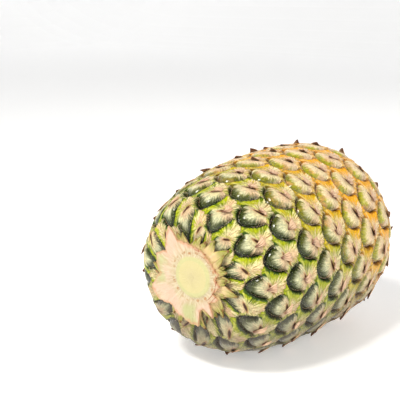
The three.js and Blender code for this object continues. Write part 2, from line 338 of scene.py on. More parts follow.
def eye_relief(own_side, own_crown, out, crown_side, swell):
    """Height of the rind, against the fruit's outline: domes, grooves, and bracts that slope into them."""
    rim = mix_numbers(DOME_STEP, -GROOVE_DEPTH, crown_side)
    steepness = mix_numbers(STALK_STEEPNESS, CROWN_STEEPNESS, crown_side)
    dome = mix_numbers(DOME_TOP * swell, rim, np.minimum(out, 1) ** steepness)
    edge = np.abs(own_side) + np.abs(own_crown)
    bract = BRACT_TOP - BRACT_FALL * smooth(edge, BRACT_FALLS_FROM, BRACT_FALLS_TO)
    bract += LIP_HEIGHT * np.exp(-(((out - LIP_AT) / LIP_WIDTH) ** 2)) * crown_side
    groove_side = smooth(out, 1.0, 1.0 + GROOVE_WIDTH * crown_side + GROOVE_EDGE)
    return np.where(out < 1, dome, mix_numbers(rim, bract, groove_side))


def eyes_between(lowest_skin, highest_skin):
    """The grid places of all the eyes whose middles lie in this stretch of the skin."""
    found = []
    for x in range(ROWS_LEFT):
        for y in range(-EYES_COUNTED_TO, EYES_COUNTED_TO):
            counted = EYES_COUNTED_FROM <= eye_number(x, y) <= EYES_COUNTED_TO
            if counted and lowest_skin <= grid_place(x, y)[1] <= highest_skin:
                found.append((x, y))
    return found


def mesh_points(mesh):
    """A mesh's points, one row each, in metres."""
    points = np.empty(len(mesh.vertices) * 3)
    mesh.vertices.foreach_get("co", points)
    return points.reshape(-1, 3)


def look_of_eyes(x, y):
    """Two random numbers and the ripeness of the eye at each grid place."""
    number = eye_number(x, y)
    ripeness = grid_place(x, y)[1] / SKIN_TOTAL
    return np.column_stack([chance(number, 11), chance(number, 12), ripeness, 0 * ripeness + 1])


def give_colours(mesh, name, values):
    """Stores four numbers for each point of a mesh, which its material reads by this name."""
    look = mesh.attributes.new(name, "FLOAT_COLOR", "POINT")
    look.data.foreach_set("color", np.asarray(values, dtype=float).ravel())


def join_copies(copies, name):
    """Joins the copies of a pattern piece into one smooth object."""
    bpy.ops.object.select_all(action="DESELECT")
    for copy in copies:
        copy.select_set(True)
    bpy.context.view_layer.objects.active = copies[0]
    bpy.ops.object.join()
    joined = bpy.context.object
    joined.name = name
    joined.data.name = name
    bpy.ops.object.shade_smooth()
    return joined


def copy_of(pattern, points, name):
    """A copy of a pattern piece with its own mesh, whose points are moved to the given ones."""
    mesh = pattern.data.copy()
    mesh.vertices.foreach_set("co", points.ravel())
    copy = bpy.data.objects.new(name, mesh)
    bpy.context.collection.objects.link(copy)
    return copy


bpy.ops.mesh.primitive_grid_add(x_subdivisions=EYE_CELLS, y_subdivisions=EYE_CELLS, size=1)
eye_pattern = bpy.context.object
flat = mesh_points(eye_pattern.data)
side = flat[:, 0] - flat[:, 1]
crown = -flat[:, 0] - flat[:, 1]
owner_x, owner_y, own_side, own_crown, out, crown_side = owned_places(side, crown)
tiles = []
for eye in eyes_between(-RIND_BEFORE_RIM, SKIN_TOTAL + RIND_BEYOND_RIM):
    look = look_of_eyes(eye[0] + owner_x, eye[1] + owner_y)
    swell = mix_numbers(LEAST_SWELL, MOST_SWELL, look[:, 0])
    relief = eye_relief(own_side, own_crown, out, crown_side, swell)
    tile = copy_of(eye_pattern, on_fruit(eye, side, crown, relief), "rind")
    give_colours(tile.data, "eye_look", look)
    give_colours(tile.data, "eye_place", np.column_stack([own_side, own_crown, out, crown_side]))
    tiles.append(tile)
bpy.data.objects.remove(eye_pattern)
rind = join_copies(tiles, "rind")
bpy.ops.object.mode_set(mode="EDIT")
bpy.ops.mesh.select_all(action="SELECT")
bpy.ops.mesh.remove_doubles(threshold=RIND_WELD * MM)
bpy.ops.mesh.select_all(action="DESELECT")
bpy.ops.object.mode_set(mode="OBJECT")

# The tiles fold up at the small hole in each flat end. Their faces there go, and both holes are closed.
rind_points = mesh_points(rind.data) / MM
from_axis = np.hypot(rind_points[:, 0], rind_points[:, 2] - AXIS_HEIGHT)
in_hole = from_axis < RIM_HOLE_RADIUS + RIND_WELD / 2
for face in rind.data.polygons:
    face.select = all(in_hole[v] for v in face.vertices)
bpy.ops.object.mode_set(mode="EDIT")
bpy.ops.mesh.select_mode(type="FACE")
bpy.ops.mesh.delete(type="FACE")
bpy.ops.mesh.select_mode(type="EDGE")
bpy.ops.mesh.select_all(action="DESELECT")
bpy.ops.mesh.select_non_manifold()
bpy.ops.mesh.fill_holes(sides=0)
bpy.ops.mesh.select_all(action="DESELECT")
bpy.ops.object.mode_set(mode="OBJECT")


def ramp(tree, factor, stops):
    """A smooth colour ramp through stops of (position, red, green, blue)."""
    colour = put(tree, "ShaderNodeValToRGB", {"Fac": factor})
    scale = colour.node.color_ramp
    scale.interpolation = "EASE"
    while len(scale.elements) < len(stops):
        scale.elements.new(0.5)
    for element, (position, *rgb) in zip(scale.elements, stops):
        element.position = position
        element.color = (*rgb, 1)
    return colour


def blend(tree, factor, first, second, blend_type="MIX"):
    """Mixes two colours, each a socket or (red, green, blue)."""
    inputs = {0: factor}
    for index, colour in ((6, first), (7, second)):
        inputs[index] = colour if isinstance(colour, bpy.types.NodeSocket) else (*colour, 1)
    return put(tree, "ShaderNodeMix", inputs, output=2, data_type="RGBA", blend_type=blend_type)


def maths(tree, operation, *values):
    """One Math node on numbers or sockets."""
    return put(tree, "ShaderNodeMath", dict(enumerate(values)), operation=operation)


def plus(tree, *terms):
    """The sum of numbers or sockets."""
    total = terms[0]
    for term in terms[1:]:
        total = maths(tree, "ADD", total, term)
    return total


def times(tree, first, second):
    return maths(tree, "MULTIPLY", first, second)


def swing(tree, value, amount):
    """How far a value is off its middle, 0.5, times an amount."""
    return times(tree, maths(tree, "SUBTRACT", value, 0.5), amount)


def squares(tree, across, along, across_weight=1.0):
    """The square of the distance from a middle, in which the way across may count for less."""
    across_square = times(tree, maths(tree, "POWER", across, 2.0), across_weight)
    return plus(tree, across_square, maths(tree, "POWER", along, 2.0))


def between(tree, value, low, high, to_low=0.0, to_high=1.0):
    """Runs smoothly from one number to another while a value runs from low to high."""
    inputs = {"Value": value, "From Min": low, "From Max": high, "To Min": to_low, "To Max": to_high}
    return put(tree, "ShaderNodeMapRange", inputs, interpolation_type="SMOOTHSTEP")


def noise(tree, place, scale, detail):
    return put(tree, "ShaderNodeTexNoise", {"Vector": place, "Scale": scale, "Detail": detail})


def read_colours(tree, name):
    """The four numbers that give_colours stored under this name."""
    stored = put(tree, "ShaderNodeAttribute", attribute_name=name).node
    parts = put(tree, "ShaderNodeSeparateColor", {0: stored.outputs["Color"]}).node
    return parts.outputs[0], parts.outputs[1], parts.outputs[2], stored.outputs["Alpha"]


def paint_and_bump(tree, shader, colour, raised, strength, distance):
    """Gives the shader its colour, and a bump whose full height is this many millimetres."""
    tree.links.new(colour, shader.inputs["Base Color"])
    bump = put(tree, "ShaderNodeBump", {"Height": raised, "Strength": strength, "Distance": distance * MM})
    tree.links.new(bump, shader.inputs["Normal"])


def make_fibres_group():
    """Fine streaks that run along Y of the given coordinates, as fibres do, broken up along their run."""
    group = bpy.data.node_groups.new("fibres", "ShaderNodeTree")
    group.interface.new_socket("Place", in_out="INPUT", socket_type="NodeSocketVector")
    for name in ("Across", "Along", "Seed"):
        group.interface.new_socket(name, in_out="INPUT", socket_type="NodeSocketFloat")
    group.interface.new_socket("Streaks", in_out="OUTPUT", socket_type="NodeSocketFloat")
    given = group.nodes.new("NodeGroupInput").outputs
    stretch = put(group, "ShaderNodeCombineXYZ", {0: given["Across"], 1: given["Along"], 2: 1})
    place = put(group, "ShaderNodeVectorMath", {0: given["Place"], 1: stretch}, operation="MULTIPLY")
    broad = {"Vector": place, "W": given["Seed"], "Scale": 1.0, "Detail": 3.0, "Roughness": 0.6}
    broad = put(group, "ShaderNodeTexNoise", broad, noise_dimensions="4D")
    fine = {"Vector": place, "W": given["Seed"], "Scale": 2.7, "Detail": 2.0}
    fine = put(group, "ShaderNodeTexNoise", fine, noise_dimensions="4D")
    both = plus(group, times(group, broad, 0.65), times(group, fine, 0.35))
    result = group.nodes.new("NodeGroupOutput")
    group.links.new(between(group, both, 0.36, 0.64), result.inputs["Streaks"])
    return group


fibres_group = make_fibres_group()


def fibres(tree, place, across, along, seed):
    """Fibre streaks, from 0 to 1. Each seed gives other streaks."""
    inputs = {"Place": place, "Across": across, "Along": along, "Seed": seed}
    return put(tree, "ShaderNodeGroup", inputs, node_tree=fibres_group)


# The dried flower leaves a short, slanting slit in each eye, in the eye's own side and crown places. The
# cream fibres fan out from a point close by.
SLIT_SIDE = -0.03
SLIT_CROWN = -0.25
SLIT_HALF_WIDTH = 0.2
SLIT_HALF_HEIGHT = 0.07
SLIT_SLANT = 0.5
FAN_SIDE = -0.03
FAN_CROWN = -0.26
# A dome's colours from its middle, 0, to its rim, 1. The greens and yellows are the dome's own; the nearly
# black end at the rim is painted shade where the dome drops into its groove.
GREEN_DOME = [(0.0, 0.16, 0.15, 0.04), (0.4, 0.11, 0.12, 0.015), (0.6, 0.052, 0.064, 0.002),
              (0.88, 0.022, 0.033, 0.001), (1.0, 0.003, 0.004, 0.0005)]
YELLOW_DOME = [(0.0, 0.8, 0.55, 0.28), (0.4, 0.62, 0.46, 0.14), (0.6, 0.46, 0.42, 0.02),
               (0.86, 0.34, 0.32, 0.004), (1.0, 0.12, 0.06, 0.001)]


def read_eye(tree):
    """What the layers of the rind share: the place in the eye, streaks, blots, and how ripe it is, raised by
    painted light towards the top of the fruit.
    """
    eye = SimpleNamespace()
    first, second, ripe = read_colours(tree, "eye_look")[:3]
    eye.side, eye.crown, eye.out, eye.crown_side = read_colours(tree, "eye_place")
    eye.place = put(tree, "ShaderNodeTexCoord", output=3)
    eye.height = put(tree, "ShaderNodeSeparateXYZ", {0: eye.place}, output=2)
    eye.fan_side = plus(tree, eye.side, -FAN_SIDE)
    eye.fan_crown = plus(tree, eye.crown, -FAN_CROWN)
    eye.away = maths(tree, "SQRT", squares(tree, eye.fan_side, eye.fan_crown))
    around = maths(tree, "ARCTAN2", eye.fan_side, eye.fan_crown)
    polar = put(tree, "ShaderNodeCombineXYZ", {0: around, 1: eye.away, 2: first})
    eye.streaks = fibres(tree, polar, 10.0, 2.2, times(tree, second, 40.0))
    eye.blots = noise(tree, eye.place, 130.0, 2.0)
    eye.specks = noise(tree, eye.place, 900.0, 3.0)
    eye.patch = maths(tree, "SUBTRACT", eye.blots, 0.5)
    # The ramps' dark, painted-shade end at the rim is reached only on the crown side, where the groove is.
    rim_ward = times(tree, eye.out, between(tree, eye.crown_side, 0.0, 0.8, 0.5, 1.0))
    eye.uneven = plus(tree, rim_ward, times(tree, eye.patch, 0.35), swing(tree, eye.streaks, -0.12))
    # Ripeness runs from crown to stalk and varies in patches; painted light adds to it higher up, so the top
    # of the fruit is painted yellower and lighter.
    ripe_and_top_lit = plus(tree, ripe, between(tree, eye.height, 0.03, 0.12, -0.12, 0.16), times(tree, eye.patch, 0.3))
    eye.ripened = between(tree, ripe_and_top_lit, 0.2, 0.62)
    return eye


def pulp_colour(tree, eye):
    """The dry, cream middle of an eye, with thin brown cracks."""
    pulp = blend(tree, between(tree, eye.blots, 0.42, 0.6), (0.88, 0.76, 0.4), (0.84, 0.58, 0.34))
    crack = times(tree, between(tree, eye.streaks, 0.2, 0.02), between(tree, eye.away, 0.5, 0.25))
    pulp = blend(tree, times(tree, crack, 0.7), pulp, (0.42, 0.17, 0.07))
    return blend(tree, times(tree, eye.ripened, 0.5), pulp, (1.0, 0.74, 0.46))


def wax_beads_and_glints(tree, eye):
    """Small, glossy beads near a dome's rim. Their mask raises their bumps, and also paints pale highlights
    on them.
    """
    beads = put(tree, "ShaderNodeTexVoronoi", {"Vector": eye.place, "Scale": 780.0, "Randomness": 0.9})
    on_rim = times(tree, between(tree, eye.uneven, 0.6, 0.78), between(tree, eye.out, 0.99, 0.93))
    return times(tree, between(tree, beads, 0.38, 0.12), on_rim)


def dome_colour(tree, eye, pulp, bead_and_glint):
    """A dome: green or yellow with painted shade that runs nearly black at its rim, painted highlights on
    its beads, then frosted, and cream round the slit.
    """
    dome = blend(tree, eye.ripened, ramp(tree, eye.uneven, GREEN_DOME), ramp(tree, eye.uneven, YELLOW_DOME))
    inward = between(tree, plus(tree, eye.uneven, times(tree, eye.ripened, 0.02)), 0.74, 0.34)
    frost = times(tree, between(tree, eye.streaks, 0.1, 0.9, 0.62, 1.0), inward)
    frosted = blend(tree, eye.ripened, (0.8, 0.8, 0.5), (1.0, 0.84, 0.52))
    dome = blend(tree, times(tree, frost, 0.9), dome, frosted)
    rosy = times(tree, between(tree, eye.blots, 0.5, 0.62), between(tree, eye.ripened, 0.2, 0.8))
    dome = blend(tree, times(tree, rosy, 0.6), dome, (0.7, 0.33, 0.13))
    # Painted highlight: pale dots on the wax beads.
    dome = blend(tree, times(tree, bead_and_glint, 0.6), dome, (0.42, 0.5, 0.22))
    reach = maths(tree, "SQRT", squares(tree, eye.fan_side, eye.fan_crown, 0.6))
    reach = plus(tree, reach, times(tree, eye.streaks, -0.3), times(tree, eye.ripened, -0.2))
    near = between(tree, reach, 0.44, 0.04)
    return blend(tree, times(tree, near, 0.92), dome, pulp)


def bract_colour(tree, eye, pulp):
    """A bract: green or orange wings, painted darker next to the dome, a fan of cream fibres, a pale crest
    along its edge and a seam beside it, and deep painted shade where it dips into the groove."""
    # The wings vary in tone at random, and are painted darker green next to the dome as painted shade.
    wing_tone_and_shade = plus(tree, times(tree, eye.patch, 1.8), between(tree, eye.out, 1.0, 1.4))
    wing_tone_and_shade = plus(tree, wing_tone_and_shade, swing(tree, eye.streaks, 0.8))
    young = blend(tree, between(tree, wing_tone_and_shade, 0.2, 1.0), (0.03, 0.08, 0.001), (0.42, 0.47, 0.001))
    ripening = blend(tree, between(tree, wing_tone_and_shade, 0.1, 0.9), (0.55, 0.2, 0.001), (1.0, 0.46, 0.001))
    wing = blend(tree, eye.ripened, young, ripening)
    fibre = blend(tree, between(tree, eye.streaks, 0.0, 0.5), (0.56, 0.27, 0.13), pulp)
    sideways = maths(tree, "ABSOLUTE", eye.fan_side)
    spread = plus(tree, times(tree, sideways, 1.35), times(tree, eye.away, 0.35))
    spread = plus(tree, spread, swing(tree, eye.streaks, -0.55), times(tree, eye.ripened, 0.08))
    cream = between(tree, spread, 0.8, 0.32)
    bract = blend(tree, times(tree, cream, 0.95), wing, fibre)

    aside = maths(tree, "ABSOLUTE", eye.side)
    off_crest = plus(tree, eye.crown, maths(tree, "MULTIPLY_ADD", aside, -0.38, 0.38))
    off_crest = maths(tree, "ABSOLUTE", plus(tree, off_crest, times(tree, eye.patch, 0.25)))
    crest = times(tree, between(tree, off_crest, 0.11, 0.02), between(tree, aside, 1.0, 0.6))
    crest = times(tree, crest, between(tree, eye.streaks, 0.1, 0.7, 0.35, 0.8))
    crest_colour = blend(tree, eye.ripened, (0.72, 0.7, 0.16), (1.0, 0.72, 0.26))
    bract = blend(tree, crest, bract, crest_colour)
    seam = plus(tree, sideways, times(tree, eye.patch, 0.12))
    seam = maths(tree, "ABSOLUTE", maths(tree, "SUBTRACT", seam, 0.8))
    bract = blend(tree, times(tree, between(tree, seam, 0.06, 0.01), 0.5), bract, (0.05, 0.06, 0.005))
    shade = blend(tree, eye.ripened, (0.008, 0.014, 0.001), (0.2, 0.07, 0.003))
    deep = times(tree, between(tree, eye.out, 1.22, 1.03), eye.crown_side)
    return blend(tree, deep, bract, shade)


def add_slit(tree, eye, colour):
    """The dried flower's slit in a sore brown patch, painted nearly black as the shadow in its hollow under
    the tip.
    """
    wide = maths(tree, "DIVIDE", plus(tree, eye.side, -SLIT_SIDE), SLIT_HALF_WIDTH)
    high = plus(tree, eye.crown, -SLIT_CROWN, times(tree, eye.side, SLIT_SLANT))
    slit_out = squares(tree, wide, maths(tree, "DIVIDE", high, SLIT_HALF_HEIGHT))
    sore = between(tree, plus(tree, slit_out, times(tree, eye.patch, 5.0)), 2.8, 0.9)
    colour = blend(tree, times(tree, sore, 0.65), colour, (0.52, 0.17, 0.04))
    # Painted shadow: the slit's hollow, nearly black.
    slit_shadow = between(tree, plus(tree, slit_out, times(tree, eye.patch, 2.0)), 1.3, 0.5)
    return blend(tree, times(tree, slit_shadow, 0.95), colour, (0.06, 0.015, 0.006))


def make_rind_material():
    """Waxy rind: domes and bracts, with painted shade that makes them duller and browner near the table, and
    with a wet shine on the domes.
    """
    material, tree, shader = new_material("rind", 0.4, Coat_Roughness=0.12, Specular_IOR_Level=0.2)
    eye = read_eye(tree)
    pulp = pulp_colour(tree, eye)
    bead_and_glint = wax_beads_and_glints(tree, eye)
    dome = dome_colour(tree, eye, pulp, bead_and_glint)
    bract = bract_colour(tree, eye, pulp)
    colour = add_slit(tree, eye, blend(tree, between(tree, eye.out, 0.98, 1.02), dome, bract))
    # Painted shade: the rind is painted duller and browner towards the table.
    painted_floor_shade = between(tree, eye.height, 0.065, 0.01)
    colour = blend(tree, times(tree, painted_floor_shade, 0.65), colour, (0.13, 0.095, 0.085))
    speckle = between(tree, eye.specks, 0.35, 0.65, 0.82, 1.1)
    grey = put(tree, "ShaderNodeCombineColor", {0: speckle, 1: speckle, 2: speckle})
    colour = blend(tree, 1.0, colour, grey, "MULTIPLY")

    raised = plus(tree, times(tree, eye.streaks, 0.7), times(tree, eye.specks, 0.4), eye.blots)
    raised = plus(tree, raised, times(tree, bead_and_glint, 2.4))
    paint_and_bump(tree, shader, colour, raised, 0.9, 0.8)
    tree.links.new(between(tree, eye.uneven, 0.3, 0.8, 0.5, 0.2), shader.inputs["Roughness"])
    on_dome = between(tree, eye.out, 1.05, 0.95)
    wet = times(tree, on_dome, between(tree, eye.uneven, 0.35, 0.75, 0.05, 0.55))
    tree.links.new(wet, shader.inputs["Coat Weight"])
    return material


rind.data.materials.append(make_rind_material())
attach(rind, "root")
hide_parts("fruit")

# The dry tips of the bracts: each bract ends in a thin, papery point, which grows out of it, stands over
# the middle of its eye and curls towards the crown. Towards the stalk they are longer on the whole.
TIP_CELLS_ACROSS = 6
TIP_CELLS_ALONG = 10
TIP_THICK = 0.5
TIP_SIDE = -0.03
TIP_ROOT = -0.5
TIP_HALF_WIDTH = 0.2
TIP_LENGTHS = (0.3, 0.62)
TIP_LONGER_WHEN_RIPE = 0.25
TIP_LIFTS = (0.6, 3.4)
TIP_LEANS = (-0.14, 0.14)
TIP_CURLS = (-0.05, 0.12)
TIP_FOLD = 0.45
TIPS_AFTER_CROWN_RIM = 6
TIPS_BEFORE_STALK_RIM = 4


def tip_points(eye, flat):
    """The points of one eye's dry tip, which narrows to a point, leans aside and lifts off the dome."""
    number = eye_number(*eye)
    ripe = grid_place(*eye)[1] / SKIN_TOTAL
    across = flat[:, 0] * 2
    up = flat[:, 1] + 0.5
    length = mix_numbers(*TIP_LENGTHS, chance(number, 3)) + TIP_LONGER_WHEN_RIPE * ripe * chance(number, 4)
    lift = mix_numbers(*TIP_LIFTS, chance(number, 2) ** 1.4 * mix_numbers(0.5, 1, ripe))
    lean = mix_numbers(*TIP_LEANS, chance(number, 5)) * up**2
    curl = mix_numbers(*TIP_CURLS, chance(number, 6)) * np.sin(math.pi * up)
    side = TIP_SIDE + across * TIP_HALF_WIDTH * (1 - up) ** 0.7 + lean + curl
    crown = TIP_ROOT + length * up
    out = 0.1 + lift * up**1.7 - TIP_FOLD * across**2 * (1 - up) + TIP_THICK
    return on_fruit(eye, side, crown, out)


def thicken(piece, thick):
    """Gives the active piece's blades a thickness, in millimetres."""
    walls = piece.modifiers.new("walls", "SOLIDIFY")
    walls.thickness = thick * MM
    walls.offset = 0
    bpy.ops.object.modifier_apply(modifier="walls")


def keep_above_floor(mesh):
    """Presses flat what would lie under the table."""
    points = mesh_points(mesh)
    points[:, 2] = np.maximum(points[:, 2], 0)
    mesh.vertices.foreach_set("co", points.ravel())
    mesh.update()


bpy.ops.mesh.primitive_grid_add(x_subdivisions=TIP_CELLS_ACROSS, y_subdivisions=TIP_CELLS_ALONG, size=1)
tip_pattern = bpy.context.object
tip_pattern.data.uv_layers[0].name = "tip"
flat = mesh_points(tip_pattern.data)
blades = []
for eye in eyes_between(TIPS_AFTER_CROWN_RIM, SKIN_TOTAL - TIPS_BEFORE_STALK_RIM):
    blade = copy_of(tip_pattern, tip_points(eye, flat), "bract_tips")
    give_colours(blade.data, "eye_look", np.tile(look_of_eyes(*np.array(eye, dtype=float)), (len(flat), 1)))
    blades.append(blade)
bpy.data.objects.remove(tip_pattern)
tips = join_copies(blades, "bract_tips")
thicken(tips, TIP_THICK)
keep_above_floor(tips.data)


def make_tip_material():
    """Dry papery points: cream and pink streaks that run out into dark brown."""
    material, tree, shader = new_material("bract_tip", 0.65)
    seed = times(tree, read_colours(tree, "eye_look")[1], 40.0)
    uv = put(tree, "ShaderNodeUVMap", uv_map="tip")
    up = put(tree, "ShaderNodeSeparateXYZ", {0: uv}, output=1)
    streaks = fibres(tree, uv, 9.0, 1.2, seed)
    cream = blend(tree, streaks, (0.82, 0.6, 0.38), (0.5, 0.24, 0.13))
    dry = blend(tree, streaks, (0.24, 0.08, 0.035), (0.08, 0.022, 0.01))
    turning = plus(tree, up, swing(tree, streaks, 0.4))
    colour = blend(tree, between(tree, turning, 0.4, 0.92), cream, dry)
    paint_and_bump(tree, shader, colour, streaks, 0.6, 0.4)
    return material


tips.data.materials.append(make_tip_material())
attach(tips, "root")

# The cut stub of the crown: the knife left a ragged star of sliced leaf bases round the core, whose pale
# disc stands a little out. The star hangs over the fruit's end and joins it by a short neck.
STUB_PLUG_RADIUS = 16
STUB_OVERHANG = 1.1
STUB_FACE = 3.2
# Both stubs are plugs in the rind's sunk ends, and stop just short of its flat bottom there.
PLUG_BOTTOM = 0.35 - RIM_DEPTH
CORE_RADIUS = 12.5
CORE_STANDS_OUT = 0.5
CORE_ASIDE = 2.4
CORE_ABOVE = 2.5
CORE_GROOVE_DEPTH = 0.3
CORE_GROOVE_RADIUS = 13.6
CORE_GROOVE_WIDTH = 0.8
STAR_STEPS = 240
STAR_ROWS = 30
STAR_FACE_ENDS = 0.7
STAR_EDGE_ENDS = 0.8
STAR_RADIUS = 30
STAR_DROOP = 0.8
STAR_RIDGES = 0.12
SHARP_EDGE = 50
# Round the star, each leaf base is a tip between two notches: angle from the top, and reach.
STAR_OUTLINE = [
    (332, 34), (337, 24.4), (350, 22), (6, 20.5), (23, 20), (41, 19.3), (61, 19.4), (72, 21), (80, 18),
    (91, 20.8), (108, 16.6), (113, 21.8), (129, 17.4), (141, 25.8), (148, 18), (159, 19.2), (168, 27.6),
    (184, 26), (197, 23.8), (199, 25.3), (216, 22), (222, 23.5), (235, 28.7), (251, 30.5), (256, 28),
    (272, 21.7), (278, 24.2), (296, 27.5), (309, 22.9), (320, 27.5),
]


def on_crown_end(aside, above, out):
    """Places on the crown end, in metres: aside and above from the axis, and out of the fruit."""
    return np.column_stack([aside, CROWN_RIM_Y - out + 0 * aside, above + AXIS_HEIGHT]) * MM


def merge_and_close(piece):
    """Welds a wrapped grid's seam, closes the hole at its end, and turns its faces outwards."""
    bpy.ops.object.select_all(action="DESELECT")
    piece.select_set(True)
    bpy.context.view_layer.objects.active = piece
    bpy.ops.object.mode_set(mode="EDIT")
    bpy.ops.mesh.select_mode(type="EDGE")
    bpy.ops.mesh.select_all(action="SELECT")
    bpy.ops.mesh.remove_doubles(threshold=0.01 * MM)
    bpy.ops.mesh.select_all(action="DESELECT")
    bpy.ops.mesh.select_non_manifold()
    bpy.ops.mesh.fill_holes(sides=0)
    bpy.ops.mesh.select_all(action="SELECT")
    bpy.ops.mesh.normals_make_consistent(inside=False)
    bpy.ops.mesh.select_all(action="DESELECT")
    bpy.ops.object.mode_set(mode="OBJECT")


bpy.ops.mesh.primitive_grid_add(x_subdivisions=STAR_STEPS, y_subdivisions=STAR_ROWS, size=1)
star = bpy.context.object
star.name = "cut_crown"
star.data.name = "cut_crown"
flat = mesh_points(star.data)
around = (flat[:, 0] + 0.5) * 2 * math.pi
row = flat[:, 1] + 0.5
star_angles = np.radians([angle for angle, reach in STAR_OUTLINE])
star_order = np.argsort(star_angles)
star_reaches = np.array([reach for angle, reach in STAR_OUTLINE], dtype=float)[star_order]
reach = np.interp(around, star_angles[star_order], star_reaches, period=2 * math.pi)
reach += 0.25 * np.sin(37 * around) + 0.2 * np.sin(71 * around + 1)
on_face = np.clip(row / STAR_FACE_ENDS, 0, 1)
on_edge = np.clip((row - STAR_FACE_ENDS) / (STAR_EDGE_ENDS - STAR_FACE_ENDS), 0, 1)
on_back = np.clip((row - STAR_EDGE_ENDS) / (1 - STAR_EDGE_ENDS), 0, 1)
from_axis = mix_numbers(reach * on_face, STUB_PLUG_RADIUS, np.clip(on_back * 1.6, 0, 1))
aside = from_axis * np.sin(around)
above = from_axis * np.cos(around)
from_core = np.hypot(aside - CORE_ASIDE, above - CORE_ABOVE)
core_around = np.arctan2(aside - CORE_ASIDE, above - CORE_ABOVE)
ridges = STAR_RIDGES * np.sin(9 * around + 0.5 * np.sin(3 * around)) * smooth(from_core, 13, 20)
face_out = STUB_FACE - STAR_DROOP * (from_axis / STAR_RADIUS) ** 2 + ridges
face_out = face_out + CORE_STANDS_OUT * smooth(from_core, CORE_RADIUS + 0.3, CORE_RADIUS - 0.5)
face_out -= CORE_GROOVE_DEPTH * np.exp(-(((from_core - CORE_GROOVE_RADIUS) / CORE_GROOVE_WIDTH) ** 2))
back_out = mix_numbers(STUB_OVERHANG, PLUG_BOTTOM, np.clip(on_back * 2.7 - 1.7, 0, 1))
out = mix_numbers(face_out, back_out, on_edge)
star.data.vertices.foreach_set("co", on_crown_end(aside, above, out).ravel())
give_colours(star.data, "cut_place", np.column_stack([from_core / 10, core_around, on_face, on_edge]))
merge_and_close(star)
bpy.ops.object.shade_smooth_by_angle(angle=math.radians(SHARP_EDGE))


def fibre_ends(tree, warped, from_core, core_around, streaks):
    """How dark the cut is with the ends of fibres, which are dots in a ring close round the core."""
    ring = times(tree, between(tree, warped, 1.3, 1.4), between(tree, warped, 1.62, 1.5))
    dots_place = {0: times(tree, core_around, 4.3), 1: times(tree, from_core, 3.0), 2: 0.5}
    dots_place = put(tree, "ShaderNodeCombineXYZ", dots_place)
    dots = put(tree, "ShaderNodeTexVoronoi", {"Vector": dots_place, "Scale": 1.0, "Randomness": 0.8})
    dotted = times(tree, ring, between(tree, dots, 0.44, 0.24))
    return times(tree, dotted, between(tree, streaks, 0.2, 0.5))


def gaps_of_layers(tree, warped, from_core, core_around, blots):
    """How dark the cut is with the thin gaps between its sliced layers, which show on its right side."""
    layers = maths(tree, "SINE", plus(tree, times(tree, warped, 27.0), core_around))
    gaps = times(tree, between(tree, layers, 0.5, 0.9), between(tree, blots, 0.4, 0.52))
    gaps = times(tree, gaps, between(tree, from_core, 1.38, 1.5))
    to_right = maths(tree, "SINE", plus(tree, core_around, 0.35))
    return times(tree, gaps, between(tree, to_right, 0.1, 0.6))


def make_cut_material():
    """Freshly cut leaf bases: wet cream with pink and pale green in the lobes, fibres and a yellow core.
    Distances from the core's middle are in centimetres."""
    material, tree, shader = new_material("cut_crown", 0.45, Specular_IOR_Level=0.4)
    from_core, core_around, share, on_edge = read_colours(tree, "cut_place")
    place = put(tree, "ShaderNodeTexCoord", output=3)
    polar = put(tree, "ShaderNodeCombineXYZ", {0: core_around, 1: from_core, 2: 0.0})
    streaks = fibres(tree, polar, 11.0, 1.3, 3.0)
    lobes = noise(tree, place, 75.0, 2.0)
    blots = noise(tree, place, 400.0, 4.0)
    warped = plus(tree, from_core, swing(tree, lobes, 0.25))
    cream = blend(tree, streaks, (0.44, 0.33, 0.18), (0.6, 0.52, 0.35))
    pink = blend(tree, between(tree, lobes, 0.45, 0.65, 0.0, 0.7), cream, (0.6, 0.41, 0.31))
    outer = blend(tree, between(tree, lobes, 0.55, 0.35, 0.0, 0.75), pink, (0.4, 0.42, 0.17))
    body = blend(tree, between(tree, from_core, 1.35, 2.0), cream, outer)
    rim = plus(tree, share, swing(tree, blots, 0.2))
    body = blend(tree, times(tree, between(tree, rim, 0.9, 1.0), 0.75), body, (0.5, 0.24, 0.12))
    dotted = fibre_ends(tree, warped, from_core, core_around, streaks)
    body = blend(tree, times(tree, dotted, 0.8), body, (0.36, 0.14, 0.03))
    gaps = gaps_of_layers(tree, warped, from_core, core_around, blots)
    body = blend(tree, times(tree, gaps, 0.95), body, (0.3, 0.08, 0.03))
    core = ramp(tree, from_core, [(0.0, 0.57, 0.49, 0.25), (0.95, 0.55, 0.48, 0.23), (1.0, 0.5, 0.47, 0.22)])
    grain = put(tree, "ShaderNodeTexVoronoi", {"Vector": place, "Scale": 900.0})
    core = blend(tree, between(tree, grain, 0.35, 0.1, 0.0, 0.35), core, (0.6, 0.5, 0.32))
    colour = blend(tree, between(tree, warped, 1.3, 1.18), body, core)
    side = maths(tree, "GREATER_THAN", on_edge, 0.5)
    colour = blend(tree, times(tree, side, 0.6), colour, (0.55, 0.42, 0.2))
    raised = plus(tree, streaks, times(tree, blots, 0.5))
    paint_and_bump(tree, shader, colour, raised, 0.5, 0.4)
    return material


star.data.materials.append(make_cut_material())
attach(star, "root")
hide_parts("crown_stub")

